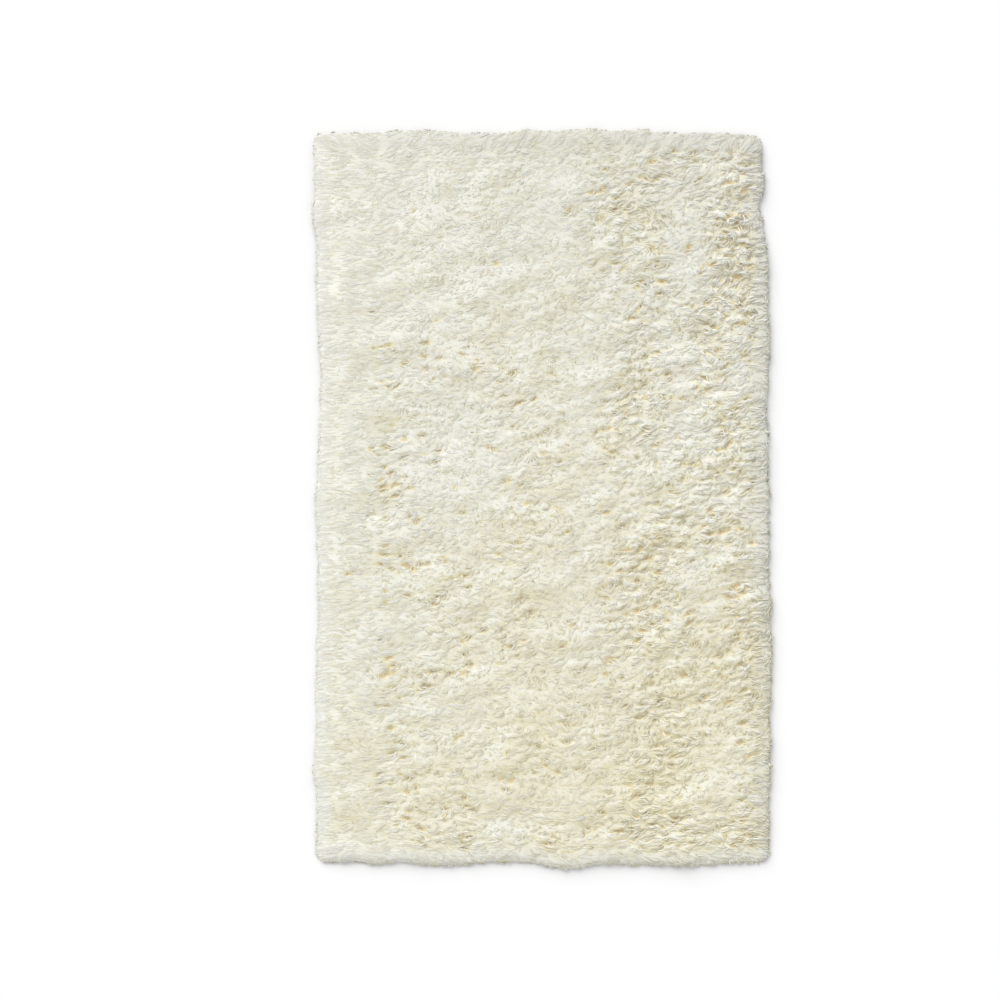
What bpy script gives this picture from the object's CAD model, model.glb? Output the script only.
# %% [markdown]
# # A shag rug in Blender
#
# The rug is long ivory wool pile on a woven backing. Its solid comes from the CAD frame: a lumpy slab with locks
# round its rim. This lesson dresses that solid. First come the camera and the light, then a flat map on which the
# pile is combed, then the yarns, the bed that they grow from, the backing under it, and the wool itself. Everything
# is in metres, in the frame's own place.

# %% The frame
import math

import bpy
import numpy as np
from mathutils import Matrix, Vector
from mathutils.bvhtree import BVHTree
from mathutils.kdtree import KDTree


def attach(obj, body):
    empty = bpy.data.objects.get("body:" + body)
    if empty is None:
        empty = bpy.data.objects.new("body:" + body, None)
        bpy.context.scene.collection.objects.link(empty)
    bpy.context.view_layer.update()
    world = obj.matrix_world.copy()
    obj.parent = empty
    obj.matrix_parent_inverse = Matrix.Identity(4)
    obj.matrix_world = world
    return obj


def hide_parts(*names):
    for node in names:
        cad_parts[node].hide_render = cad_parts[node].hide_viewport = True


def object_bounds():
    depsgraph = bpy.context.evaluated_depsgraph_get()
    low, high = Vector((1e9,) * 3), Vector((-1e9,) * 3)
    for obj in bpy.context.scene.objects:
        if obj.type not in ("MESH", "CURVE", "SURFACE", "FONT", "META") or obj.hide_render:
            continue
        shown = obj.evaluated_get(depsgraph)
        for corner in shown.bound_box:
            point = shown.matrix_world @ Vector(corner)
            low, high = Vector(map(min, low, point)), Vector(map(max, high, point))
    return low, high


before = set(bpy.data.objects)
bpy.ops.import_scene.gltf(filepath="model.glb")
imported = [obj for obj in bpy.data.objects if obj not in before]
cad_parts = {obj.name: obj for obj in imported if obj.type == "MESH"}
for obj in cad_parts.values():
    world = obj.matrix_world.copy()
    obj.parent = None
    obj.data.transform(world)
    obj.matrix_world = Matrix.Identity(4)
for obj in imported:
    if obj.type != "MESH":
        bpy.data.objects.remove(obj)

cad_low, cad_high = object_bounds()
print("the solid is", [round(high - low, 3) for low, high in zip(cad_low, cad_high)], "metres")

# %% [markdown]
# ## Camera
#
# The photo looks straight down on the rug from far off, so its sides are nearly parallel. A long lens high above
# gives that. The rug lies a little right of the picture's middle, so the camera stands a little left of the rug's
# middle.

# %% The camera above the rug
METRES_PER_PIXEL = 1.524 / 457
PICTURE_PIXELS = 1000
RUG_MIDDLE_PIXEL = (542.5, 498.5)
CAMERA_HEIGHT = 7.0
PILE_TOP = 0.03
SENSOR_MILLIMETRES = 36


def new_object(name, data):
    """Puts new data into the scene as an object."""
    made = bpy.data.objects.new(name, data)
    bpy.context.scene.collection.objects.link(made)
    return made


camera = new_object("camera", bpy.data.cameras.new("camera"))
camera.location = (
    (PICTURE_PIXELS / 2 - RUG_MIDDLE_PIXEL[0]) * METRES_PER_PIXEL,
    (RUG_MIDDLE_PIXEL[1] - PICTURE_PIXELS / 2) * METRES_PER_PIXEL,
    CAMERA_HEIGHT,
)
camera.data.sensor_width = SENSOR_MILLIMETRES
camera.data.lens = SENSOR_MILLIMETRES * (CAMERA_HEIGHT - PILE_TOP) / (PICTURE_PIXELS * METRES_PER_PIXEL)
bpy.context.scene.camera = camera
print("the lens is", round(camera.data.lens, 1), "mm")

# %% [markdown]
# ## Light and floor
#
# The photo's light is soft and comes from the upper left: the pile throws a short grey shadow below the rug and on
# its right, and none above or on its left. A sun with a wide disc makes that soft edge, and a white world fills the
# rest. The floor is plain white.

# %% Sun and sky
SUN_STRENGTH = 2.5
SUN_DISC_DEGREES = 50
SUN_ELEVATION_DEGREES = 35
SUN_FROM_DEGREES = 114  # seen from above, counted from +X anticlockwise
SKY_STRENGTH = 0.64

sun = new_object("sun", bpy.data.lights.new("sun", "SUN"))
sun.data.energy = SUN_STRENGTH
sun.data.angle = math.radians(SUN_DISC_DEGREES)
height_angle, side_angle = math.radians(SUN_ELEVATION_DEGREES), math.radians(SUN_FROM_DEGREES)
towards_sun = Vector((
    math.cos(height_angle) * math.cos(side_angle),
    math.cos(height_angle) * math.sin(side_angle),
    math.sin(height_angle),
))
sun.rotation_euler = towards_sun.to_track_quat("Z", "Y").to_euler()

world = bpy.data.worlds.new("white_sky")
bpy.context.scene.world = world
world.use_nodes = True
sky = world.node_tree.nodes["Background"].inputs
sky["Color"].default_value = (1, 1, 1, 1)
sky["Strength"].default_value = SKY_STRENGTH
bpy.context.scene.view_settings.view_transform = "Standard"
print("the sun stands", SUN_ELEVATION_DEGREES, "degrees high")

# %% The floor
FLOOR_WHITE = 0.918
FLOOR_SIZE = 30
FLOOR_LEVEL = -0.0002


def new_shape(name, add, **settings):
    """Adds a primitive with nothing else selected, and names it."""
    bpy.ops.object.select_all(action="DESELECT")
    add(**settings)
    bpy.context.object.name = name
    return bpy.context.object


def new_finish(name, roughness, gloss):
    """A new material and its shader."""
    finish = bpy.data.materials.new(name)
    finish.use_nodes = True
    shader = finish.node_tree.nodes["Principled BSDF"]
    shader.inputs["Roughness"].default_value = roughness
    shader.inputs["Specular IOR Level"].default_value = gloss
    return finish, shader


floor = new_shape("floor", bpy.ops.mesh.primitive_plane_add, size=FLOOR_SIZE, location=(0, 0, FLOOR_LEVEL))
bpy.ops.object.transform_apply(location=True, rotation=True, scale=True)
floor_white, floor_shader = new_finish("floor_white", 0.9, 0.0)
floor_shader.inputs["Base Color"].default_value = (FLOOR_WHITE, FLOOR_WHITE, FLOOR_WHITE, 1)
floor.data.materials.append(floor_white)

# %% [markdown]
# ## Reading the slab
#
# The pile has to follow the solid's lumps and its uneven outline. Rays cast down from above give the height of its
# top on a fine grid, and the first and last place in each row that is still high gives the outline.

# %% Heights of the slab's top
HEIGHT_STEP = 0.008
RIM_HEIGHT = 0.017  # the slab's edge is higher than this, and the locks outside it are lower

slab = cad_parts["shag_rug"]
slab_tree = BVHTree.FromPolygons(
    [v.co for v in slab.data.vertices],
    [p.vertices for p in slab.data.polygons],
)
grid_x = np.arange(cad_low.x + HEIGHT_STEP / 2, cad_high.x, HEIGHT_STEP)
grid_y = np.arange(cad_low.y + HEIGHT_STEP / 2, cad_high.y, HEIGHT_STEP)


def slab_top(x, y):
    """The height of the slab's top over (x, y), and 0 outside it."""
    hit = slab_tree.ray_cast(Vector((x, y, 1)), Vector((0, 0, -1)))[0]
    return hit.z if hit else 0.0


slab_heights = np.array([[slab_top(x, y) for x in grid_x] for y in grid_y])
on_slab = slab_heights > RIM_HEIGHT
print("the pile's top is", round(slab_heights[on_slab].mean() * 1000, 1), "mm high on average")


# %% The uneven outline
CORNER_ROWS = 14  # grid rows at each end that hold only the round corners
OUTLINE_REACH = 4  # grid rows on each side that smooth a place of the outline


def smoothed_line(values):
    """A line of numbers, each replaced by the mean of its neighbours."""
    count = 2 * OUTLINE_REACH + 1
    return np.convolve(np.pad(values, OUTLINE_REACH, mode="edge"), np.ones(count) / count, mode="valid")


def outline_of(inside, across):
    """For each row of the grid, the first and last place across it that is on the slab."""
    first = across[inside.argmax(1)]
    last = across[inside.shape[1] - 1 - inside[:, ::-1].argmax(1)]
    for side in (first, last):
        side[:CORNER_ROWS] = side[CORNER_ROWS]
        side[-CORNER_ROWS:] = side[-CORNER_ROWS - 1]
    return smoothed_line(first), smoothed_line(last)


left_side, right_side = outline_of(on_slab, grid_x)
bottom_side, top_side = outline_of(on_slab.T, grid_y)
half_width = (right_side.mean() - left_side.mean()) / 2
half_length = (top_side.mean() - bottom_side.mean()) / 2
print("the slab inside its locks is", round(2 * half_width, 3), "by", round(2 * half_length, 3))

# %% [markdown]
# ## A map that rolls over the edge
#
# Pile near the rim bends over it and hangs down to the floor. It is easier to comb on a flat map than on a bent
# edge, so every lock is laid out on a flat map first. Inside the rim line the map lies on the pile. Past it the map
# rolls outwards and down, and then a little back under, as thick pile does where nothing holds it up.

# %% How far past the rim a place is
RIM_INSET = 0.030
RIM_RADIUS = 0.012
ROLL_LENGTH = 0.058  # on the map, from the rim line to the floor
CORNER_POWER = 4  # 2 is a round corner and more is squarer

rim_half = np.array([half_width - RIM_INSET, half_length - RIM_INSET])


def ease(value, start, end):
    """0 before start and 1 after end, easing smoothly in between."""
    t = np.clip((value - start) / (end - start), 0, 1)
    return t * t * (3 - 2 * t)


def by_table(value, table):
    """Reads a short table of (place, amount) pairs, straight between them."""
    places, amounts = zip(*table)
    return np.interp(value, places, amounts)


def past_rim(places):
    """How far places on the map are past the rim line (less than 0 inside it), and the way straight out."""
    over = np.abs(places) - (rim_half - RIM_RADIUS)
    reach = np.maximum(over, 0)
    distance = (reach ** CORNER_POWER).sum(-1) ** (1 / CORNER_POWER)
    inside = distance <= 0
    way = reach / np.maximum(distance, 1e-9)[..., None]
    flat_way = np.where(over[..., :1] > over[..., 1:], [1.0, 0.0], [0.0, 1.0])
    way = np.where(inside[..., None], flat_way, way) * np.sign(places + 1e-12)
    beyond = np.where(inside, over.max(-1), distance) - RIM_RADIUS
    return beyond, way


def rim_sides(places, start=-0.02, end=0.03):
    """How far places are over the rim, from 0 to 1: on the left, on the right, at the bottom and at the top."""
    beyond, way = past_rim(places)
    over = ease(beyond, start, end)
    x, y = way[..., 0], way[..., 1]
    return [over * ease(out, 0.2, 0.8) for out in (-x, x, -y, y)]


def by_side(amounts, places, *span):
    """Adds up an amount for each side (left, right, bottom, top), as far as places are over the rim there."""
    return sum(amount * share for amount, share in zip(amounts, rim_sides(places, *span)))


# %% [markdown]
# The slab's lumps are coarse, and under combed pile they would look like dents. So its heights are smoothed: only a
# little on the right, where the pile is heaped into tufts, and much more on the left and at both ends, where it
# lies flat. Each round of smoothing replaces a height by the mean of itself and its four neighbours.

# %% The slab's heights, smoothed
LUMPY_ROUNDS = 6
FLAT_ROUNDS = 30
LUMPY_ACROSS = ((-0.6, 0.0), (-0.2, 0.40), (0.2, 0.45), (0.45, 0.75))
LEAST_LUMPY = 0.25


def calmed(heights, rounds):
    """Heights smoothed on the slab, each round by one step of the grid."""
    for _ in range(rounds):
        total = np.zeros(heights.shape)
        weight = np.zeros(heights.shape)
        for dx, dy in ((0, 0), (0, 1), (0, -1), (1, 0), (-1, 0)):
            total += np.roll(heights * on_slab, (dy, dx), (0, 1))
            weight += np.roll(on_slab, (dy, dx), (0, 1))
        heights = np.where(on_slab, total / np.maximum(weight, 1), slab_heights)
    return heights


lumpy, flattened = calmed(slab_heights, LUMPY_ROUNDS), calmed(slab_heights, FLAT_ROUNDS)
away_from_ends = 1 - 0.6 * ease(np.abs(grid_y), 0.80, 1.05)
lumpy_share = LEAST_LUMPY + by_table(grid_x, LUMPY_ACROSS) * away_from_ends[:, None]
calm_heights = flattened + (lumpy - flattened) * lumpy_share
print("the calmed heights differ by up to", round(float(np.abs(calm_heights - slab_heights).max()) * 1000, 1), "mm")

# %% From the flat map to the rug's outline
slab_grid = (grid_x, grid_y, HEIGHT_STEP)


def read_table(grid, table, places):
    """Reads a table between the points of its grid: where its columns and rows lie, and their step."""
    columns, rows, step = grid
    column = np.clip((places[..., 0] - columns[0]) / step, 0, len(columns) - 1.001)
    row = np.clip((places[..., 1] - rows[0]) / step, 0, len(rows) - 1.001)
    c, r = column.astype(int), row.astype(int)
    u, v = column - c, row - r
    low = table[r, c] * (1 - u) + table[r, c + 1] * u
    high = table[r + 1, c] * (1 - u) + table[r + 1, c + 1] * u
    return low * (1 - v) + high * v


def on_rug(places):
    """Moves places on the map to the rug's uneven outline."""
    moved = []
    for k, half, grid, sides in ((0, half_width, grid_y, (left_side, right_side)),
                                 (1, half_length, grid_x, (bottom_side, top_side))):
        share = np.clip(places[..., k] / half / 2 + 0.5, 0, 1)
        low, high = [np.interp(places[..., 1 - k], grid, side) for side in (sides[0] + half, sides[1] - half)]
        moved.append(places[..., k] + low * (1 - share) + high * share)
    return np.stack(moved, -1)


# %% The roll over the rim
ROLL_REACH = 0.050
END_REACH = 0.007  # how much further the two short ends reach
ROLL_POWER = 3.0  # 1 is a straight slope and more is rounder
BOTTOM_POWER = 2.2  # the bottom rim is the flattest, so it catches the most light
UNDERCUT = 0.60  # how far the rolled rim turns back in under itself
BOTTOM_UNDERCUT = 0.36  # less where the rim is flattest
LIFT_POWER = 6  # how late on the roll the yarns come down onto the bed
BED_SHARE = 0.84  # of the slab's height, where the felted bed lies
LEAST_BED = 0.014
LOWEST_ROOT = 0.0008
STOPPING_SPAN = (0.35, 1.0)  # of the roll, over which a yarn that stops early falls behind


def rolled(places, lift, stretch=1.0, last_share=1.0):
    """The 3-D points of places on the map, each lifted off the bed, the way out, and the way out along the bed.
    stretch makes the roll reach further, and last_share stops it short of the floor."""
    beyond, way = past_rim(places)
    outside = np.maximum(beyond, 0)
    rim_places = places - way * outside[..., None]
    flat = on_rug(rim_places)
    bed = np.maximum(read_table(slab_grid, calm_heights, flat) * BED_SHARE, LEAST_BED)
    share = np.clip(outside / ROLL_LENGTH, 0, 1)
    share = share - (1 - last_share) * ease(share, *STOPPING_SPAN)
    reach = (ROLL_REACH + END_REACH * np.abs(way[..., 1])) * stretch
    downwards = ease(-way[..., 1], 0.2, 0.8)
    undercut = UNDERCUT + (BOTTOM_UNDERCUT - UNDERCUT) * downwards
    power = ROLL_POWER + (BOTTOM_POWER - ROLL_POWER) * downwards
    # The way out is share - undercut * share ** 4, which is widest where its slope is nought
    widest = (1 / (4 * undercut)) ** (1 / 3)
    full = widest - undercut * widest ** 4
    fall = (bed - LOWEST_ROOT) * power * share ** (power - 1)
    slope = np.arctan2(fall, reach * (1 - 4 * undercut * share ** 3) / full)
    lift = lift * (1 - share ** LIFT_POWER)
    out = reach * (share - undercut * share ** 4) / full + lift * np.sin(slope)
    height = LOWEST_ROOT + (bed - LOWEST_ROOT) * (1 - share ** power) + lift * np.cos(slope)
    point = flat + way * out[..., None]
    way_down = np.concatenate([way * np.cos(slope)[..., None], -np.sin(slope)[..., None]], -1)
    return np.concatenate([point, height[..., None]], -1), way, way_down


# %% [markdown]
# ## Combing
#
# Wool pile never stands alone: yarns cling together into locks, and locks into tufts. Here every yarn leans towards
# the middle of its lock, and every lock towards the middle of its tuft, more and more from root to tip. The tufts
# are combed across the rug: flat to the left along its left side, and up to the right elsewhere. Over the rim they
# turn outwards.

# %% Smooth noise for hand-made unevenness
USUAL_PEAK = 1.6  # of such a sum, where each wave's is 1


def make_waves(seed, span, count=14):
    """A smooth random field over the rug: a sum of plane waves whose lengths are about span."""
    chance = np.random.default_rng(seed)
    angles = chance.uniform(0, 2 * math.pi, count)
    lengths = span * chance.uniform(0.6, 1.6, count)
    waves = np.stack([np.cos(angles), np.sin(angles)], -1) * (2 * math.pi / lengths)[:, None]
    phases = chance.uniform(0, 2 * math.pi, count)
    return waves, phases


def read_waves(field, places):
    """The field's value at each place, mostly between -1 and 1."""
    waves, phases = field
    return np.sin(places @ waves.T + phases).sum(-1) / math.sqrt(len(phases) / 2) / USUAL_PEAK


# %% Which way the pile lies
UP_RIGHT_DEGREES = 20
WANDER_DEGREES = 15
FINE_WANDER = 1.2
EDGE_PULL_FROM = -0.045
SIDE_PULL, END_PULL = 1.5, 0.25
HANGING_PULL = 1.1  # more pull at the two ends, low on the roll, where the pile hangs to the floor
COMBED_LEFT_TO = -0.63
ENDS_SPAN = (0.95, 1.12)  # metres from the middle, where the pile grows calmer towards the two ends

wander_field = make_waves(seed=11, span=0.30)
fine_wander_field = make_waves(seed=12, span=0.07)


def calm_at(places, least, across, at_ends):
    """How far the pile may turn: the least on the left and 1 past a span across, and less at the two ends."""
    calm = least + (1 - least) * ease(places[..., 0], *across)
    return calm * (1 - at_ends * ease(np.abs(places[..., 1]), *ENDS_SPAN))


def comb_angle(places, goes_left):
    """The direction in which the pile lies at each place on the map, in radians."""
    x, y = places[..., 0], places[..., 1]
    rise = UP_RIGHT_DEGREES * ease(x, -0.30, 0.35) * ease(y, -1.10, -0.70)
    wander = read_waves(wander_field, places) + FINE_WANDER * read_waves(fine_wander_field, places)
    wander = wander * WANDER_DEGREES
    right = np.radians(rise + wander * calm_at(places, 0.30, (-0.66, -0.40), 0.7))
    left = math.pi - np.radians(wander * 0.4)
    heading = np.where(goes_left, left, right)
    beyond, way = past_rim(places)
    end_pull = END_PULL + HANGING_PULL * ease(beyond, 0.012, 0.036)
    outward = SIDE_PULL * np.abs(way[..., 0]) + end_pull * np.abs(way[..., 1])
    pull = ease(beyond, EDGE_PULL_FROM, 0.012)
    lie_x = np.cos(heading) + way[..., 0] * outward * pull
    lie_y = np.sin(heading) + way[..., 1] * outward * pull
    return np.arctan2(lie_y, lie_x)


# %% [markdown]
# Tufts, locks and yarns all start as seeds on the map, in staggered rows that are shaken at random, so that they
# are evenly spread and yet never in line. Each yarn belongs to the lock whose seed is nearest, and each lock to a
# tuft.

# %% Seeds
ROOTED_SHARE = 0.86  # of the roll, past which nothing is rooted


def scatter(spacing_x, spacing_y, jitter, seed):
    """Places on the map in staggered rows, each moved at random."""
    chance = np.random.default_rng(seed)
    reach = rim_half + ROLL_LENGTH
    xs = np.arange(-reach[0], reach[0] + spacing_x, spacing_x)
    ys = np.arange(-reach[1], reach[1] + spacing_y, spacing_y)
    x, y = np.meshgrid(xs, ys)
    x[1::2] += spacing_x / 2
    places = np.stack([x.ravel(), y.ravel()], -1)
    places += chance.uniform(-jitter, jitter, places.shape) * [spacing_x, spacing_y]
    return places[past_rim(places)[0] < ROLL_LENGTH * ROOTED_SHARE]


TUFT_ACROSS, TUFT_ALONG = 0.060, 0.032
LOCK_ACROSS, LOCK_ALONG = 0.022, 0.012
YARN_SPACING = 0.0088
SEED_JITTER, YARN_JITTER = 0.42, 0.48  # of the spacing

tuft_seeds = scatter(TUFT_ACROSS, TUFT_ALONG, SEED_JITTER, seed=21)
lock_seeds = scatter(LOCK_ACROSS, LOCK_ALONG, SEED_JITTER, seed=22)
yarn_roots = scatter(YARN_SPACING, YARN_SPACING, YARN_JITTER, seed=23)
print(len(tuft_seeds), "tufts,", len(lock_seeds), "locks and", len(yarn_roots), "yarns")


# %% Which belongs to which
def nearest(places, seeds, stretch):
    """Which seed is nearest to each place, and how far the place is from the border with the next seed's share.
    Distances across the rug count for less by stretch."""
    tree = KDTree(len(seeds))
    for i, seed in enumerate(seeds):
        tree.insert((seed[0] / stretch, seed[1], 0), i)
    tree.balance()
    found = [tree.find_n((p[0] / stretch, p[1], 0), 2) for p in places.reshape(-1, 2)]
    near = np.array([f[0][1] for f in found])
    gap = np.array([f[1][2] - f[0][2] for f in found])
    return near.reshape(places.shape[:-1]), gap.reshape(places.shape[:-1])


tuft_of_lock, _ = nearest(lock_seeds, tuft_seeds, TUFT_ACROSS / TUFT_ALONG)
lock_of_yarn, lock_gap = nearest(yarn_roots, lock_seeds, LOCK_ACROSS / LOCK_ALONG)
tuft_of_yarn = tuft_of_lock[lock_of_yarn]
print("a lock has", round(len(yarn_roots) / len(lock_seeds), 1), "yarns on average")

# %% [markdown]
# A yarn's route is worked out flat first: it starts at its root, heads the way it is combed, and bends evenly on
# the way. A yarn rises steeply out of the bed before it lies over, so its first stretch covers less ground than the
# rest.

# %% How a yarn lies
RING_SHARES = np.array([0.0, 0.30, 0.65, 1.0])
CURVE_STEPS = 12
STEEP_GROUND = 0.35  # of its own length, the ground that a yarn covers at its root
TUFT_HOLD, TUFT_HOLD_POWER = 0.35, 1.3
LOCK_HOLD, LOCK_HOLD_POWER = 0.62, 1.2


def lay(places, angles, bends, lengths):
    """The flat routes of yarns: root, direction, bend and length in, one place for each share of the length out."""
    shares = np.linspace(0, 1, CURVE_STEPS + 1)
    middle = (shares[1:] + shares[:-1]) / 2
    heading = angles[:, None] + bends[:, None] * middle
    ground = STEEP_GROUND + (1 - STEEP_GROUND) * ease(middle, 0.0, 0.35)
    step = lengths[:, None] / CURVE_STEPS * ground
    moves = np.stack([np.cos(heading) * step, np.sin(heading) * step], -1)
    route = np.concatenate([np.zeros((len(places), 1, 2)), np.cumsum(moves, 1)], 1)
    picked = [np.stack([np.interp(RING_SHARES, shares, r[:, k]) for r in route]) for k in (0, 1)]
    return places[:, None] + np.stack(picked, -1)


def gather(routes, leaders, hold, power):
    """Leans each route towards its leader's, more and more towards the tip."""
    weight = hold * RING_SHARES ** power
    return routes + (leaders - routes) * weight[:, None]


# %% How lively the pile is in each part of the rug
curl_field = make_waves(seed=51, span=0.22)
relief_field = make_waves(seed=52, span=0.35)
LEAST_HEAPED = 0.10
HEAPED_PATCHES = (  # how much more heaped, and where that eases in across and along the rug
    (0.12, (-0.66, -0.42), None),
    (0.35, (0.05, 0.60), None),
    (0.12, None, (-0.95, -1.15)),
    (0.10, (0.40, 0.70), (0.30, 0.80)),
    (-0.07, (0.30, 0.60), (0.60, 0.20)),
    (-0.07, (0.40, 0.10), (0.30, 0.80)),
)


def by_patches(amounts, places, patches):
    """Adds to the amounts what each patch of the rug gives, easing in over its spans."""
    for more, *spans in patches:
        for k, span in enumerate(spans):
            more = more * ease(places[..., k], *span) if span else more
        amounts = amounts + more
    return amounts


def curl_at(places):
    """How curly and upright the pile is, from 0 (combed flat) to 1."""
    return ease(read_waves(curl_field, places), -0.1, 0.8) * ease(past_rim(places)[0], 0.0, -0.06)


def relief_at(places):
    """How strongly the pile is heaped into tufts: least on the left, most on the right and along the bottom."""
    return by_patches(LEAST_HEAPED, places, HEAPED_PATCHES) * (1 + 0.40 * read_waves(relief_field, places))


# %% Turns and bends of the tufts and locks
TUFT_TURN, LOCK_TURN = 14, 22  # degrees
TUFT_BEND, LOCK_BEND = 0.7, 1.3
BORDER_WANDER = 0.07  # of the line up to which the pile is combed to the left

chance = np.random.default_rng(31)


def some(spread, seeds):
    """A random amount for each seed, mostly between -spread and spread."""
    return chance.normal(0, spread, len(seeds))


tuft_calm, lock_calm = [calm_at(seeds, 0.35, (-0.64, -0.30), 0.45) for seeds in (tuft_seeds, lock_seeds)]
tuft_turn = np.radians(some(TUFT_TURN, tuft_seeds)) * tuft_calm
tuft_bend = some(TUFT_BEND, tuft_seeds) * tuft_calm
tuft_lift = some(1, tuft_seeds)
tuft_tone = some(1, tuft_seeds)
tuft_left = tuft_seeds[:, 0] < COMBED_LEFT_TO + some(BORDER_WANDER, tuft_seeds)
lock_turn = np.radians(some(LOCK_TURN, lock_seeds)) * lock_calm
lock_bend = some(LOCK_BEND, lock_seeds) * lock_calm
lock_lift = some(1, lock_seeds)
lock_tone = some(1, lock_seeds)

# %% The routes: tufts, then locks, then yarns
LEAST_LENGTH, MOST_LENGTH = 0.030, 0.056
CURLY_SHORTER = 0.45
MIDDLE_SHORTER = 0.22
SPARE_ROOM, LEAST_ROOM = 0.004, 0.016
SLACK = 1.1  # a yarn's length for the ground that it covers
YARN_TURN, CURLY_TURN = 10, 28  # degrees, and how many more where the pile is curly
YARN_BEND, CURLY_BEND = 0.4, 1.4


def lengths_at(places, angles):
    """How long the yarns rooted at these places are: shorter near the rim, so that they end on the floor."""
    length = chance.uniform(LEAST_LENGTH, MOST_LENGTH, len(places)) * (1 - CURLY_SHORTER * curl_at(places))
    length = length * (1 - MIDDLE_SHORTER * ease(places[:, 0], -0.60, -0.40))
    beyond, way = past_rim(places)
    outward = np.maximum(np.cos(angles) * way[:, 0] + np.sin(angles) * way[:, 1], 0.25)
    room = np.maximum(ROLL_LENGTH + SPARE_ROOM - beyond, LEAST_ROOM) * SLACK / outward
    return np.minimum(length, room)


tuft_angles = comb_angle(tuft_seeds, tuft_left) + tuft_turn
tuft_routes = lay(tuft_seeds, tuft_angles, tuft_bend, lengths_at(tuft_seeds, tuft_angles))
lock_angles = comb_angle(lock_seeds, tuft_left[tuft_of_lock]) + tuft_turn[tuft_of_lock] + lock_turn
lock_bends = tuft_bend[tuft_of_lock] + lock_bend
lock_routes = lay(lock_seeds, lock_angles, lock_bends, lengths_at(lock_seeds, lock_angles))
lock_routes = gather(lock_routes, tuft_routes[tuft_of_lock], TUFT_HOLD, TUFT_HOLD_POWER)
yarn_curl = curl_at(yarn_roots)
yarn_angles = comb_angle(yarn_roots, tuft_left[tuft_of_yarn]) + tuft_turn[tuft_of_yarn] + lock_turn[lock_of_yarn]
yarn_angles = yarn_angles + np.radians(YARN_TURN + CURLY_TURN * yarn_curl) * some(1, yarn_roots)
yarn_bends = lock_bends[lock_of_yarn] + (YARN_BEND + CURLY_BEND * yarn_curl) * some(1, yarn_roots)
yarn_routes = lay(yarn_roots, yarn_angles, yarn_bends, lengths_at(yarn_roots, yarn_angles))
yarn_routes = gather(yarn_routes, lock_routes[lock_of_yarn], LOCK_HOLD, LOCK_HOLD_POWER)

# %% [markdown]
# ## Partings
#
# Here and there the pile falls open, and the eye sees down to the tan roots. Such a parting is a short slit along
# the way the pile lies. Yarns are pushed aside from its middle line, and the bed dips under it. Partings come in
# groups, more of them on the heaped right side and in a band near the left.

# %% Partings, where the pile falls open
PARTINGS = 980
PARTED_BAND, PARTED_BAND_WIDTH = -0.50, 0.10
UNPARTED_PATCHES = ((-0.50, (-0.58, -0.66), None), (-0.35, (0.40, 0.10), (0.30, 0.80)))
PARTING_FADE = 0.008  # metres to each side, over which the push fades out
PARTING_REACH = np.array([-0.035, 0.035])  # along the rug, beyond which a parting pushes nothing
PARTING_LENGTH, MORE_LENGTH = 0.004, 0.014  # of the smallest, and how much more of the largest
PARTING_WIDTH, MORE_WIDTH = 0.0020, 0.0040

parting_places = chance.uniform(-1, 1, (PARTINGS * 4, 2)) * rim_half
parting_field = make_waves(seed=53, span=0.24)
in_band = np.exp(-(((parting_places[:, 0] - PARTED_BAND) / PARTED_BAND_WIDTH) ** 2))
parting_wish = by_patches(relief_at(parting_places) + 0.25 * in_band, parting_places, UNPARTED_PATCHES)
parting_wish = parting_wish + 0.30 * read_waves(parting_field, parting_places) + 0.25 * some(1, parting_places)
parting_places = parting_places[np.argsort(-parting_wish)[:PARTINGS]]
parting_angles = comb_angle(parting_places, parting_places[:, 0] < COMBED_LEFT_TO) + some(0.2, parting_places)
parting_sizes = chance.uniform(0, 1, PARTINGS) ** 1.7
parting_lengths = PARTING_LENGTH + MORE_LENGTH * parting_sizes
parting_widths = PARTING_WIDTH + MORE_WIDTH * parting_sizes
print("the longest parting is", round(2000 * float(parting_lengths.max())), "mm long")


# %% Pushing the yarns aside
def beside_parting(places, k):
    """Where places are beside one parting: along it and across it, and the way across."""
    along = np.array([math.cos(parting_angles[k]), math.sin(parting_angles[k])])
    across = np.array([-along[1], along[0]])
    offset = places - parting_places[k]
    return offset @ along, offset @ across, across


def push_apart(places):
    """Moves places away from the middle line of each parting, so that the pile falls open there."""
    moved = places.reshape(-1, 2).copy()
    order = np.argsort(moved[:, 1])
    sorted_y = moved[order, 1]
    for k in range(PARTINGS):
        first, last = np.searchsorted(sorted_y, parting_places[k, 1] + PARTING_REACH)
        near = order[first:last]
        along, aside, across = beside_parting(moved[near], k)
        strength = np.exp(-((along / parting_lengths[k]) ** 2) - np.abs(aside) / PARTING_FADE)
        push = parting_widths[k] * strength * np.where(aside < 0, -1, 1)
        moved[near] += push[:, None] * across
    return moved.reshape(places.shape)


unparted = yarn_routes[:, 1:].copy()
yarn_routes[:, 1:] = push_apart(unparted)
most_push = np.linalg.norm(yarn_routes[:, 1:] - unparted, axis=-1).max()
print(PARTINGS, "partings push the yarns aside by up to", round(float(most_push) * 1000, 1), "mm")

# %% [markdown]
# ## The shape of the bed
#
# Between and under the yarns lies a felted bed. It swells under each tuft, so that the tufts stand out like
# pillows, and dips under each parting. Its height over the map is worked out once as a table, because the yarns lie
# on it too. A second table says how deep the eye looks into it, for the colour.

# %% The felted bed's height over the map
TABLE_STEP = 0.004
PILLOW_HEIGHT = 0.0038
PILLOW_SPREAD = 0.0012
PILLOW_BORDER = 0.6  # of a tuft's spacing, over which a pillow rises
LEAST_RELIEF, MOST_RELIEF = 0.08, 2.2
PIT_DEPTH = 0.0045

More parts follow.
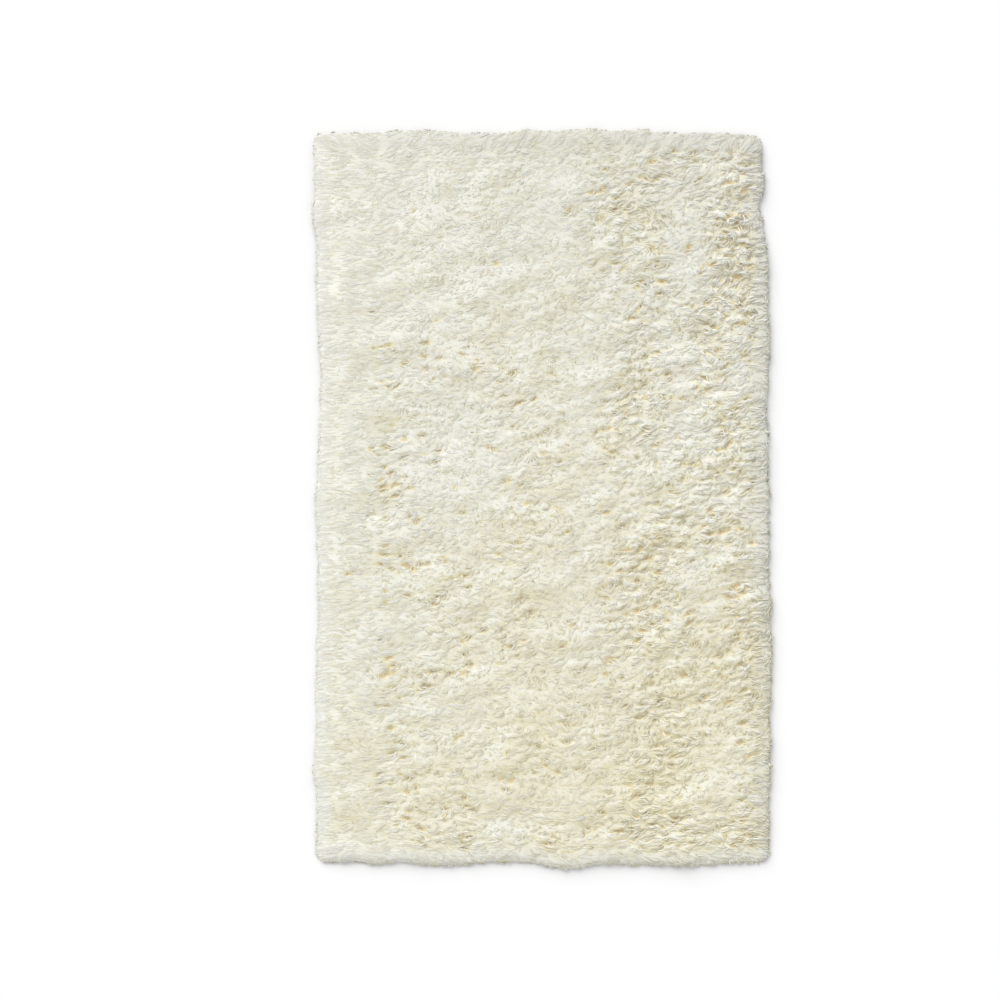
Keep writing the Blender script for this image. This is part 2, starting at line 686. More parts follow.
bed_reach = rim_half + ROLL_LENGTH
table_x, table_y = [np.arange(-reach, reach + TABLE_STEP, TABLE_STEP) for reach in bed_reach]
map_grid = (table_x, table_y, TABLE_STEP)
table_places = np.stack(np.meshgrid(table_x, table_y), -1)

tuft_near, tuft_gap = nearest(table_places, tuft_seeds, TUFT_ACROSS / TUFT_ALONG)
swell = ease(tuft_gap / TUFT_ALONG, 0.0, PILLOW_BORDER)
relief = np.clip(relief_at(table_places), LEAST_RELIEF, MOST_RELIEF)
pillow = relief * (swell * (PILLOW_HEIGHT + PILLOW_SPREAD * tuft_lift[tuft_near]) - 0.6 * PILLOW_HEIGHT)
pillow *= 1 - 0.6 * ease(past_rim(table_places)[0], -0.01, 0.02)
pit = np.zeros(pillow.shape)
for k in range(PARTINGS):
    r0, r1 = np.searchsorted(table_y, parting_places[k, 1] + np.array([-0.03, 0.03]))
    c0, c1 = np.searchsorted(table_x, parting_places[k, 0] + np.array([-0.04, 0.04]))
    along, aside, _ = beside_parting(table_places[r0:r1, c0:c1], k)
    dip = np.exp(-((along / parting_lengths[k]) ** 2) - (aside / (parting_widths[k] + 0.002)) ** 2)
    pit[r0:r1, c0:c1] = np.maximum(pit[r0:r1, c0:c1], (0.65 + 0.35 * parting_sizes[k]) * dip)
bed_table = pillow - PIT_DEPTH * pit
depth_table = np.clip(pit + 0.25 * (1 - swell) * relief, 0, 1)
slope_y, slope_x = np.gradient(bed_table, TABLE_STEP)
dips_to, swells_to = float(bed_table.min()) * 1000, float(bed_table.max()) * 1000
print("the bed dips and swells from", round(dips_to, 1), "to", round(swells_to, 1), "mm")

# %% [markdown]
# ## How high the yarns lie
#
# A combed yarn rises from its root, arches over and comes down again at the tip, and a curly one ends in the air.
# The yarns in a lock's middle lie highest, which makes the lock round. Over the rim the yarns are pressed closer,
# so that none stands up and throws its shadow on the rest. Most yarns stop where the roll is widest. Those that are
# rooted low on it hang on down to the floor, so that they partly cover the rug's edge from the side too.

# %% The yarns' routes in 3-D
FLAT_RISE = np.array([-0.7, 1.0, 0.9, 0.2])
CURLY_RISE = np.array([-0.7, 0.6, 1.1, 1.3])
YARN_RISE = 0.0026
LEAST_RISE, MOST_RISE = 0.0008, 0.006
LOCK_ROUNDNESS = 0.0020
CREASE_DROP = 0.0010
RIM_LIFT = (-0.45, 0.0, -0.45, -0.25)  # how much less the yarns rise on the left, right, bottom and top
YARN_LAST_SHARE = 0.74
HANGING_LAST_SHARE = 0.97  # for yarns rooted low on the roll, which hang to the floor

lock_offset = yarn_routes - lock_routes[lock_of_yarn]
lock_offset_share = np.linalg.norm(lock_offset, axis=-1) / LOCK_ALONG
crease = 1 - ease(lock_gap / LOCK_ALONG, 0.0, 0.45)
rise = YARN_RISE * (1 + 0.25 * some(1, yarn_roots) + 0.30 * lock_lift[lock_of_yarn])
rise = np.clip(rise, LEAST_RISE, MOST_RISE) * (0.45 + 0.9 * np.clip(relief_at(yarn_roots), LEAST_RELIEF, MOST_RELIEF))
profile = FLAT_RISE + (CURLY_RISE - FLAT_RISE) * yarn_curl[:, None]
lift = rise[:, None] * profile - LOCK_ROUNDNESS * np.clip(lock_offset_share, 0, 1.5) ** 2
lift = (lift - CREASE_DROP * crease[:, None]) * (1 + by_side(RIM_LIFT, yarn_routes))
ragged = np.clip(1 + 0.04 * lock_lift[lock_of_yarn] + 0.03 * some(1, yarn_roots), 0.9, 1.12)
yarn_lift = lift + read_table(map_grid, pillow, yarn_routes)
hanging = ease(past_rim(yarn_roots)[0], 0.026, 0.040)[:, None]
yarn_last = YARN_LAST_SHARE + (HANGING_LAST_SHARE - YARN_LAST_SHARE) * hanging
yarn_points, yarn_way, yarn_way_down = rolled(yarn_routes, yarn_lift, ragged[:, None], yarn_last)
print(int((hanging > 0.5).sum()), "yarns hang to the floor")
print("the yarns reach up to", round(float(yarn_points[..., 2].max()) * 1000, 1), "mm above the floor")

# %% [markdown]
# ## One yarn
#
# A yarn of this pile is a soft tapering strand, thickest below its middle. It is modelled once, upright and one
# unit long, from a three-sided cylinder: bisected into rings, each ring scaled, and the top drawn to a point. Three
# sides are enough, because thousands of yarns are seen together and none alone.

# %% The yarn, modelled once
RING_WIDTHS = (0.80, 1.0, 0.80)

one_unit = {"vertices": 3, "radius": 0.5, "depth": 1, "location": (0, 0, 0.5)}
yarn = new_shape("one_yarn", bpy.ops.mesh.primitive_cylinder_add, **one_unit)
bpy.ops.object.mode_set(mode="EDIT")
for share in RING_SHARES[1:-1]:
    bpy.ops.mesh.select_all(action="SELECT")
    bpy.ops.mesh.bisect(plane_co=(0, 0, share), plane_no=(0, 0, 1))
bpy.ops.object.mode_set(mode="OBJECT")
bpy.ops.object.transform_apply(location=True, rotation=True, scale=True)


def select_ring(mesh, share):
    """Selects the points of one ring."""
    bpy.ops.object.mode_set(mode="EDIT")
    bpy.ops.mesh.select_mode(type="VERT")
    bpy.ops.mesh.select_all(action="DESELECT")
    bpy.ops.object.mode_set(mode="OBJECT")
    for vertex in mesh.vertices:
        vertex.select = bool(abs(vertex.co.z - share) < 0.01)
    bpy.ops.object.mode_set(mode="EDIT")


for share, width in zip(RING_SHARES[:-1], RING_WIDTHS):
    select_ring(yarn.data, share)
    bpy.ops.transform.resize(value=(width, width, 1), center_override=(0, 0, share))
select_ring(yarn.data, 1.0)
bpy.ops.mesh.merge(type="CENTER")
bpy.ops.object.mode_set(mode="OBJECT")
print("one yarn has", len(yarn.data.vertices), "points and", len(yarn.data.polygons), "faces")

# %% [markdown]
# ## Thousands of yarns
#
# Copies of that one yarn are bent along their routes. So many objects would choke Blender, so the copies are joined
# as they are made: their points are worked out together as arrays, and each band of the rug becomes one mesh. A UV
# map goes with them. Along it runs the yarn's length, and across it are 64 shades, so that each yarn has a shade of
# its own.

# %% The yarn as arrays
LIGHT_STEPS = 8
WARM_STEPS = 8
TONES = LIGHT_STEPS * WARM_STEPS
SEAM_TURN = 0.16  # how far round the yarn its strip starts

yarn_vertices = np.array([v.co for v in yarn.data.vertices])
yarn_ring = np.abs(yarn_vertices[:, 2:] - RING_SHARES).argmin(1)
yarn_faces = [list(p.vertices) for p in yarn.data.polygons]
bpy.data.objects.remove(yarn)


def around(point):
    """How far round the yarn a point is, from 0 to 1."""
    return (math.atan2(point[1], point[0]) / (2 * math.pi)) % 1.0


def corner_places(face):
    """The places on the shade strip of a face's corners: across, and along the yarn."""
    points = [yarn_vertices[i] for i in face]
    if max(p[2] for p in points) < 0.01:  # the root's flat end lies beside the strip
        return [(0.2 + 0.3 * k, -0.018 + 0.012 * (k % 2)) for k in range(len(face))]
    on_ring = [math.hypot(p[0], p[1]) > 1e-4 for p in points]
    turns = [around(p) for p, ringed in zip(points, on_ring) if ringed]
    wraps = max(turns) - min(turns) > 0.5
    turns = [t + 1 if wraps and t < 0.5 else t for t in turns]
    middle = sum(turns) / len(turns)
    left_turns = iter(turns)
    return [((next(left_turns) if ringed else middle) - SEAM_TURN, p[2]) for p, ringed in zip(points, on_ring)]


face_places = [corner_places(face) for face in yarn_faces]
narrowest = min(min(np.ptp([p[k] for p in places]) for k in (0, 1)) for places in face_places)
strip_across = np.clip([p[0] for places in face_places for p in places], 0, 1)
strip_along = np.array([p[1] for places in face_places for p in places])
print("the narrowest face on the strip is", round(float(narrowest), 3), "wide")

# %% [markdown]
# Every place of a yarn needs a way to its side and a way straight off its upper side. On the flat pile the side is
# level. Over the rim it turns down with the roll, so that the yarn lies flat on the bed there too.
#
# Wool scatters light, so a lock looks soft and not faceted. Its normals are therefore set by hand, between the
# three-sided shape's own and the yarn's upper side, leaning away from the lock's middle and down the tufts' slopes.
# The lean is what makes locks and tufts read as round. None points lower than a least height, so that none goes
# dark. A face on the underside keeps its own normal, because one that points away from its face renders black.

# %% The ways to a yarn's side and off its upper side
def unit(vectors):
    """Vectors made one unit long."""
    return vectors / np.maximum(np.linalg.norm(vectors, axis=-1, keepdims=True), 1e-9)


def yarn_frames(points, routes, way, way_down):
    """At each place of each yarn, the ways to its side and straight off its upper side."""
    along = unit(np.gradient(points, axis=1))
    heading = unit(np.gradient(routes, axis=1))
    flat_side = np.stack([-heading[..., 1], heading[..., 0]], -1)
    outward = (flat_side * way).sum(-1, keepdims=True)
    level = flat_side - outward * way
    side = np.concatenate([level, np.zeros_like(outward)], -1) + outward * way_down
    return side, unit(np.cross(along, side))


# %% The yarns' soft normals
SOFTEST = 0.88
LEAST_SOFT = 0.54
SOFT_SLOPE = 0.52
LEAST_UP = 0.45
PALE_RIM_UP = 1.2
LOCK_SHADING = 0.42
TUFT_SHADING = 0.65

yarn_corners = np.concatenate(yarn_faces)
under_face = [np.mean([yarn_vertices[i][1] for i in face]) < -0.05 for face in yarn_faces]
under_corners = np.repeat(under_face, [len(face) for face in yarn_faces])


def soft_normals(side, above, lean, softness, least_up):
    """The hand-set normals of the yarns' corners. A face on the underside keeps its own, straight down."""
    section = yarn_vertices[:, :2] * 2
    radial = side[:, yarn_ring] * section[:, :1] + above[:, yarn_ring] * section[:, 1:]
    soft = radial * (1 - softness) + above[:, yarn_ring] * softness
    soft[..., :2] += lean[:, yarn_ring]
    soft[..., 2] = np.maximum(soft[..., 2], least_up)
    own = -above[:, yarn_ring][:, yarn_corners]
    return np.where(under_corners[:, None], own, unit(soft)[:, yarn_corners])


# %% Copies along the routes
FLATNESS = 0.6
FLOOR_GAP = 0.0004


def triangles(piece):
    """How many triangles a piece has."""
    return sum(len(p.vertices) - 2 for p in piece.data.polygons)


def yarn_mesh(name, points, side, above, widths, tones, starts_at, lean, softness, least_up):
    """One mesh of yarns. points: routes in 3-D, widths: how thick each is, tones: which shade each has, starts_at:
    where on the strip its root lies."""
    section = yarn_vertices[:, :2]
    size = widths[:, None, None]
    placed = points[:, yarn_ring] + side[:, yarn_ring] * section[:, :1] * size
    placed = placed + above[:, yarn_ring] * section[:, 1:] * size * FLATNESS
    placed[..., 2] = np.maximum(placed[..., 2], FLOOR_GAP)
    count, per_yarn = placed.shape[:2]
    corners = yarn_corners + np.arange(count)[:, None] * per_yarn
    sizes = np.tile([len(face) for face in yarn_faces], count)
    starts = np.concatenate([[0], np.cumsum(sizes)[:-1]])
    mesh = bpy.data.meshes.new(name)
    mesh.vertices.add(count * per_yarn)
    mesh.vertices.foreach_set("co", placed.astype(np.float32).ravel())
    mesh.loops.add(corners.size)
    mesh.loops.foreach_set("vertex_index", corners.astype(np.int32).ravel())
    mesh.polygons.add(len(sizes))
    mesh.polygons.foreach_set("loop_start", starts.astype(np.int32))
    mesh.polygons.foreach_set("loop_total", sizes.astype(np.int32))
    strip = mesh.uv_layers.new(name="OFBake")
    u = (tones[:, None] + 0.08 + 0.84 * strip_across) / TONES
    v = 0.02 + 0.96 * (starts_at[:, None] + (1 - starts_at[:, None]) * strip_along)
    strip.uv.foreach_set("vector", np.stack([u, v], -1).astype(np.float32).ravel())
    mesh.update(calc_edges=True)
    mesh.validate()
    mesh.shade_smooth()
    soft = soft_normals(side, above, lean, softness, least_up)
    mesh.normals_split_custom_set(soft.reshape(-1, 3).tolist())
    piece = new_object(name, mesh)
    print(name, "has", count, "yarns and", triangles(piece), "triangles")
    return piece


# %% [markdown]
# ## Shades
#
# Raw wool is never one colour. On this rug, sides of tufts that face up and away from the viewer are pale and cool,
# and sides that face the other way are warm. Yarns deep between two locks are darker and warmer. Over all of it,
# the wool goes slowly from warm at the bottom to cool at the top, and it is coolest over the left rim. So a yarn's
# warmth and lightness are sums of where it is, which way it faces and how deep it lies, with a little chance.

# %% Which way the yarns' upper sides face
PALE_SIDE = np.array([-0.33, 0.75, 0.57])

yarn_side, yarn_above = yarn_frames(yarn_points, yarn_routes, yarn_way, yarn_way_down)
lock_relief = np.clip(relief_at(yarn_roots), 0.12, 1.6)[:, None, None]
table_slope = np.stack([read_table(map_grid, slope, yarn_routes) for slope in (slope_x, slope_y)], -1)
yarn_lean = lock_offset / LOCK_ALONG * lock_relief * LOCK_SHADING - TUFT_SHADING * table_slope
upper = yarn_above.copy()
upper[..., :2] += yarn_lean
facing = (unit(upper)[:, 1:3] @ PALE_SIDE).mean(1)
facing = (facing - facing.mean()) / facing.std() * (1 - 0.8 * ease(past_rim(yarn_roots)[0], -0.02, 0.02))

# %% How warm and how light the wool is in each part of the rug
MIDDLE_WARMTH, MIDDLE_LIGHTNESS = 0.50, 0.58
RIM_WARMTH = (-0.38, -0.10, -0.25, -0.04)  # on the left, right, bottom and top
INNER_WARMTH = (0.0, -0.08, -0.08, 0.0)
RIM_LIGHTNESS = (0.32, -0.85, 0.30, -0.70)
WARMTH_ACROSS = ((-0.7, -0.15), (-0.4, -0.09), (0.0, 0.02), (0.5, -0.01))
WARMTH_ALONG = ((-0.8, 0.13), (0.0, -0.05), (0.8, -0.13))
WARMTH_PATCHES = ((-0.11, (0.15, 0.5), (-0.5, 0.5)), (0.05, (0.1, 0.5), (-0.2, -0.7)))
LIGHTNESS_ACROSS = ((-0.7, 0.28), (-0.3, 0.04), (0.2, -0.05), (0.5, 0.0))
LIGHTNESS_PATCHES = ((-0.20, (-0.35, -0.05), (0.3, 0.9)),)

warm_field = make_waves(seed=41, span=0.5)


def warmth_at(places):
    """How warm the wool's colour is at each place, from 0 (cool ivory) to 1 (cream)."""
    x, y = places[..., 0], places[..., 1]
    by_place = by_table(x, WARMTH_ACROSS) + by_table(y, WARMTH_ALONG) + 0.05 * read_waves(warm_field, places)
    near_rim = by_side(RIM_WARMTH, places) + by_side(INNER_WARMTH, places, -0.13, -0.05)
    return by_patches(MIDDLE_WARMTH + by_place, places, WARMTH_PATCHES) + near_rim


def lightness_at(places):
    """How light the wool is at each place, from 0 to 1."""
    by_place = MIDDLE_LIGHTNESS + by_table(places[..., 0], LIGHTNESS_ACROSS)
    return by_patches(by_place, places, LIGHTNESS_PATCHES) + by_side(RIM_LIGHTNESS, places, -0.06, 0.015)


# %% Every yarn's shade
yarn_chance = some(1, yarn_roots)
exposure = 0.20 * tuft_tone[tuft_of_yarn] + 0.30 * lock_lift[lock_of_yarn] + 0.40 * yarn_chance
exposure = exposure + 150 * read_table(map_grid, pillow, yarn_routes[:, 2]) + facing
deep = 1 - ease(lock_gap / LOCK_ALONG, 0.0, 0.30)
deep = deep * chance.uniform(0, 1, len(yarn_roots)) * np.clip(0.5 + 0.5 * lock_tone[lock_of_yarn], 0, 1)
lightness = 0.81 + 0.5 * (lightness_at(yarn_roots) - MIDDLE_LIGHTNESS) + 0.04 * exposure + 0.08 * yarn_chance - deep
warmth = warmth_at(yarn_roots) - 0.04 - 0.28 * exposure + 0.8 * deep


def in_steps(values, steps):
    """Values from 0 to 1, turned into whole steps."""
    return np.clip(np.round(values * (steps - 1)), 0, steps - 1)


yarn_tones = in_steps(warmth, WARM_STEPS) * LIGHT_STEPS + in_steps(lightness, LIGHT_STEPS)
print(len(np.unique(yarn_tones)), "of the", TONES, "shades are used")

# %% Yarns in bands along the rug
BANDS = 5
YARN_WIDTH = 0.0053
PALE_SIDES = (1, 0, 1, 1)  # the left, bottom and top rims, where light comes through the pile
RIM_START = 0.38  # over the rim the strip starts past its tan root, because light and washing reach the roots there

yarn_widths = YARN_WIDTH * chance.uniform(0.75, 1.25, len(yarn_roots))
yarn_softness = np.clip(SOFTEST - SOFT_SLOPE * relief_at(yarn_roots), LEAST_SOFT, SOFTEST)[:, None, None]
yarn_least_up = LEAST_UP + (PALE_RIM_UP - LEAST_UP) * by_side(PALE_SIDES, yarn_roots, -0.03, 0.02)[:, None]
yarn_start = RIM_START * np.maximum(by_side(PALE_SIDES, yarn_roots, -0.01, 0.02), hanging[:, 0])
yarn_arrays = (
    yarn_points, yarn_side, yarn_above, yarn_widths, yarn_tones, yarn_start, yarn_lean, yarn_softness, yarn_least_up,
)
band_edges = np.quantile(yarn_roots[:, 1], np.linspace(0, 1, BANDS + 1)[1:-1])
band_of_yarn = np.searchsorted(band_edges, yarn_roots[:, 1], side="right")
pile_pieces = [
    yarn_mesh(f"pile_yarns_{band + 1}", *(values[band_of_yarn == band] for values in yarn_arrays))
    for band in range(BANDS)
]

# %% [markdown]
# ## Stray fibres
#
# Fine wisps stand out from a wool rug's rim and blur its outline. They are the same yarn, only a millimetre thick.
# Each starts on the rolled rim and goes nearly level outwards, sinking a little. They are few and short, because
# many of them would shade the rim.

# %% Fine stray fibres round the rim
WISPS = 2600
WISP_WIDTH = 0.0010
WISP_SPREAD = 0.45
WISP_SOFTNESS = 0.8
WISP_OUT = (0.030, 0.044)
WISP_OUT_AT_BOTTOM = (0.020, 0.038)
WISP_LENGTH = (0.008, 0.022)

turn = chance.uniform(-1, 1, (WISPS, 2))
on_long_side = chance.uniform(0, 1, WISPS) < rim_half[1] / rim_half.sum()
at_bottom = ~on_long_side & (turn[:, 1] < 0)
at_right = on_long_side & (turn[:, 0] > 0)
out_at_bottom, out_elsewhere = chance.uniform(*WISP_OUT_AT_BOTTOM, WISPS), chance.uniform(*WISP_OUT, WISPS)
wisp_out = rim_half + np.where(at_bottom, out_at_bottom, out_elsewhere)[:, None]
along_x = np.stack([on_long_side, ~on_long_side], -1)
wisp_roots = np.where(along_x, np.sign(turn) * wisp_out, turn * rim_half)
wisp_base, wisp_way, _ = rolled(wisp_roots, np.full(WISPS, 0.0005), 1.0, YARN_LAST_SHARE)
wisp_angles = np.arctan2(wisp_way[:, 1], wisp_way[:, 0]) + chance.normal(0, WISP_SPREAD, WISPS)
wisp_lengths = chance.uniform(*WISP_LENGTH, WISPS) * np.where(at_right, 0.5, 1.0) + np.where(at_bottom, 0.008, 0)
wisp_routes = lay(wisp_base[:, :2], wisp_angles, some(1, wisp_roots), wisp_lengths)
wisp_drop = chance.uniform(0.0, 0.5, WISPS) * wisp_base[:, 2]
wisp_heights = wisp_base[:, 2:] - wisp_drop[:, None] * RING_SHARES ** 2
wisp_points = np.concatenate([wisp_routes, wisp_heights[..., None]], -1)
wisp_level = np.concatenate([wisp_way, np.zeros((WISPS, 1))], -1)[:, None]
wisp_side, wisp_above = yarn_frames(wisp_points, wisp_routes, wisp_way[:, None], wisp_level)
wisp_tones = in_steps(warmth_at(wisp_roots) - 0.25, WARM_STEPS) * LIGHT_STEPS + LIGHT_STEPS - 1
no_lean = np.zeros((WISPS, len(RING_SHARES), 2))
wisp_widths, wisp_start = np.full(WISPS, WISP_WIDTH), np.full(WISPS, RIM_START)
pile_pieces.append(yarn_mesh(
    "rim_wisps", wisp_points, wisp_side, wisp_above, wisp_widths, wisp_tones, wisp_start,
    no_lean, WISP_SOFTNESS, PALE_RIM_UP,
))

# %% [markdown]
# ## The bed of the pile
#
# Between the locks the eye falls on the yarns' roots, which are matted together and look tan. A bed fills that
# depth: a flat grid shaped over the same rolled map, with its rim drawn in underneath to close it. It stays just
# inside the yarns' tips. It stands for the CAD solid, so it has to be a closed body of that form.

# %% The bed
BED_STEP_X = 0.0090
BED_STEP_Y = 0.0048
BED_REACH_SHARE = 0.975

columns, rows = int(2 * bed_reach[0] / BED_STEP_X), int(2 * bed_reach[1] / BED_STEP_Y)
bed = new_shape("pile_bed", bpy.ops.mesh.primitive_grid_add, x_subdivisions=columns, y_subdivisions=rows, size=2)
square_places = np.array([v.co for v in bed.data.vertices])[:, :2] * bed_reach


def round_off(places, half, radius, power):
    """Draws the square corners of a flat sheet in. A power of 2 makes quarter circles and more is squarer."""
    over = np.abs(places) - (half - radius)
    corner = (over > 0).all(-1)
    size = (np.maximum(over, 0) ** power).sum(-1) ** (1 / power)
    shrink = over.max(-1) / np.maximum(size, 1e-9)
    drawn = np.abs(places) - over * (1 - shrink)[:, None]
    return np.where(corner[:, None], drawn * np.sign(places), places)


bed_places = round_off(square_places, bed_reach, RIM_RADIUS + ROLL_LENGTH, CORNER_POWER)
bed_points, _, _ = rolled(bed_places, read_table(map_grid, bed_table, bed_places), BED_REACH_SHARE)
bed.data.vertices.foreach_set("co", bed_points.astype(np.float32).ravel())
bed.data.update()
bpy.ops.object.mode_set(mode="EDIT")
bpy.ops.mesh.select_mode(type="EDGE")
bpy.ops.mesh.select_all(action="DESELECT")
bpy.ops.mesh.select_non_manifold()
bpy.ops.mesh.edge_face_add()
bpy.ops.mesh.select_all(action="SELECT")
bpy.ops.mesh.normals_make_consistent(inside=False)
bpy.ops.object.mode_set(mode="OBJECT")
bed.data.shade_smooth()
print("the bed has", triangles(bed), "triangles")

# %% [markdown]
# The bed carries its own shades, as four numbers on each of its points: how deep the place lies, how warm and how
# light the wool is, and whether it is combed flat. The material reads them. Like the yarns, the bed's rim gets
# normals that look up, so that it is as pale as the yarns over it.

# %% What the bed's wool looks like in each place
own_normals = np.array([v.normal for v in bed.data.vertices])
bed_facing = own_normals[:len(bed_places)] @ PALE_SIDE
bed_facing = np.clip((bed_facing - np.median(bed_facing)) / 0.14, -2, 2)
bed_facing = bed_facing * (1 - ease(past_rim(bed_places)[0], -0.01, 0.02))
away_from_left = ease(bed_places[:, 0], -0.58, -0.42)
away_from_bed_ends = 1 - ease(np.abs(bed_places[:, 1]), 1.10, 1.17)
for mark, values in (
    ("depth", read_table(map_grid, depth_table, bed_places) * (1 - ease(past_rim(bed_places)[0], 0.0, 0.02))),
    ("warmth", np.clip(0.18 + 0.8 * (warmth_at(bed_places) - MIDDLE_WARMTH) - 0.22 * bed_facing, 0, 1)),
    ("light", lightness_at(bed_places) + 0.15 * bed_facing),
    ("combed", 1 - away_from_left * away_from_bed_ends),
):
    attribute = bed.data.attributes.new(mark, "FLOAT", "POINT")
    attribute.data.foreach_set("value", values.astype(np.float32))
bed_up = PALE_RIM_UP * by_side(PALE_SIDES, bed_places, -0.03, 0.02)
soft = own_normals.copy()
soft[:, 2] = np.where(bed_up > 0, np.maximum(soft[:, 2], bed_up), soft[:, 2])
bed.data.normals_split_custom_set_from_vertices(unit(soft).tolist())

# %% [markdown]
# ## The backing
#
# Under the pile is a plain woven wool cloth, 3 mm thick. It shows only from below. Its corners are round and its
# edge follows the rug's uneven outline, 2 mm inside the slab.

# %% The woven backing
BACKING_THICKNESS = 0.003
BACKING_INSET = 0.002
BACKING_RADIUS = 0.04

backing_size = (2 * (half_width - BACKING_INSET), 2 * (half_length - BACKING_INSET))
backing_half = np.array(backing_size) / 2
backing = new_shape("woven_backing", bpy.ops.mesh.primitive_grid_add, x_subdivisions=30, y_subdivisions=48, size=2)
square_backing = np.array([v.co for v in backing.data.vertices])[:, :2] * backing_half
backing_places = round_off(square_backing, backing_half, BACKING_RADIUS, 2)
backing_points = np.concatenate([on_rug(backing_places), np.full((len(backing_places), 1), BACKING_THICKNESS)], -1)
backing.data.vertices.foreach_set("co", backing_points.astype(np.float32).ravel())
backing.data.update()
thicken = backing.modifiers.new("thickness", "SOLIDIFY")
thicken.thickness = BACKING_THICKNESS - 0.0002
thicken.offset = -1
bpy.ops.object.modifier_apply(modifier=thicken.name)
print("the backing is", [round(side, 3) for side in backing_size], "metres and has", triangles(backing), "triangles")

# %% [markdown]
# ## Wool
#
# All three finishes are the same wool. Its fibres make fine dark streaks along every strand, so the streaks are one
# node group that the finishes share: stretched noise, cut to a mask between two values.

# %% The wool's colours
COOL_IVORY = (0.800, 0.800, 0.745, 1)
PALEST_IVORY = (0.812, 0.810, 0.775, 1)
WARM_CREAM = (0.785, 0.680, 0.325, 1)
ROOT_TAN = (0.740, 0.660, 0.430, 1)
STREAK_OLIVE = (0.620, 0.570, 0.240, 1)


# %% Adding nodes
def add_node(kind, inputs, **settings):
    """Adds a node next to what feeds it. Each input, by name or number, gets a value or a socket."""
    tree = next(value.id_data for value in inputs.values() if isinstance(value, bpy.types.NodeSocket))
    node = tree.nodes.new("ShaderNode" + kind)
    for name, setting in settings.items():
        setattr(node, name, setting)
    for key, value in inputs.items():
        if isinstance(value, bpy.types.NodeSocket):
            tree.links.new(value, node.inputs[key])
        else:
            node.inputs[key].default_value = value
    return node


def reckon(operation, *values):
    """Adds a Math node. The first value is a socket, and the second a number or a socket."""
    return add_node("Math", dict(enumerate(values)), operation=operation).outputs[0]


def times(first, second):
    """Multiplies two values."""
    return reckon("MULTIPLY", first, second)


def plus(first, second):
    """Adds two values."""
    return reckon("ADD", first, second)


# %% Colours from nodes
def mixed(share, first, second, blend="MIX"):
    """Mixes two colours: the first where share is 0, and the second where it is 1."""
    return add_node("Mix", {0: share, 6: first, 7: second}, data_type="RGBA", blend_type=blend).outputs[2]


def mapped(value, start, end, at_start=0.0, at_end=1.0, smooth=False):
    """Adds a Map Range node: at_start where the value is start, at_end where it is end."""
    spans = {"Value": value, "From Min": start, "From Max": end, "To Min": at_start, "To Max": at_end}
    return add_node("MapRange", spans, interpolation_type="SMOOTHSTEP" if smooth else "LINEAR").outputs[0]


def colour_ramp(value, stops):
    """Adds a Color Ramp node with its stops, each a position and a colour."""
    node = add_node("ValToRGB", {0: value})
    elements = node.color_ramp.elements
    elements[0].position, elements[0].color = stops[0]
    elements[1].position, elements[1].color = stops[-1]
    for position, colour in stops[1:-1]:
        elements.new(position).color = colour
    return node.outputs[0]


def dimmed(colour, light, slope, least):
    """Darkens a colour evenly, to light * slope + least of itself."""
    grey = add_node("CombineColor", dict.fromkeys(range(3), plus(times(light, slope), least)))
    return mixed(1.0, colour, grey.outputs[0], "MULTIPLY")


def put_on(pieces, finish, shader, colour, height, depth, inwards=True):
    """Feeds a finish its colour and its relief, depth metres deep, and puts it on the pieces."""
    relief = add_node("Bump", {"Height": height, "Strength": 1.0, "Distance": depth}, invert=inwards)
    finish.node_tree.links.new(colour, shader.inputs["Base Color"])
    finish.node_tree.links.new(relief.outputs[0], shader.inputs["Normal"])
    for piece in pieces:
        piece.data.materials.append(finish)


# %% The fibre streaks, shared by the finishes
fibre_streaks = bpy.data.node_groups.new("fibre_streaks", "ShaderNodeTree")
for name, kind in (("Vector", "Vector"), ("From", "Float"), ("To", "Float")):
    fibre_streaks.interface.new_socket(name, in_out="INPUT", socket_type="NodeSocket" + kind)
fibre_streaks.interface.new_socket("Mask", in_out="OUTPUT", socket_type="NodeSocketFloat")
given = fibre_streaks.nodes.new("NodeGroupInput").outputs
streak_noise = add_node("TexNoise", {"Vector": given["Vector"], "Scale": 1.0, "Detail": 2.0, "Distortion": 0.5})
streak_mask = mapped(streak_noise.outputs[0], given["From"], given["To"])
fibre_streaks.links.new(streak_mask, fibre_streaks.nodes.new("NodeGroupOutput").inputs["Mask"])


def add_streaks(vector, start, end):
    """Places the fibre streaks in a material: their mask is 0 where the noise is under start, and 1 over end."""
    places = {"Vector": vector, "From": start, "To": end}
    return add_node("Group", places, node_tree=fibre_streaks).outputs["Mask"]


print("the streaks are a group of", len(fibre_streaks.nodes), "nodes")

# %% [markdown]
# ### The yarns' wool
#
# One finish covers every yarn. It reads the yarn's shade and its length from the UV map: tan at the root, where
# little light and no washing reaches, ivory in the middle and palest on the crown, where the yarn arches over.

# %% The yarns' wool
yarn_wool, yarn_shader = new_finish("yarn_wool", 0.62, 0.5)
strip_map = yarn_wool.node_tree.nodes.new("ShaderNodeUVMap")
strip_map.uv_map = "OFBake"
strip_place = add_node("SeparateXYZ", {0: strip_map.outputs[0]}).outputs
tone_place, along_yarn = times(strip_place[0], TONES), strip_place[1]
tone, across_yarn = reckon("FLOOR", tone_place), reckon("FRACT", tone_place)
warm_row = reckon("FLOOR", reckon("DIVIDE", tone, LIGHT_STEPS))
light_row = reckon("SUBTRACT", tone, times(warm_row, LIGHT_STEPS))
wool = mixed(reckon("DIVIDE", warm_row, WARM_STEPS - 1), COOL_IVORY, WARM_CREAM)

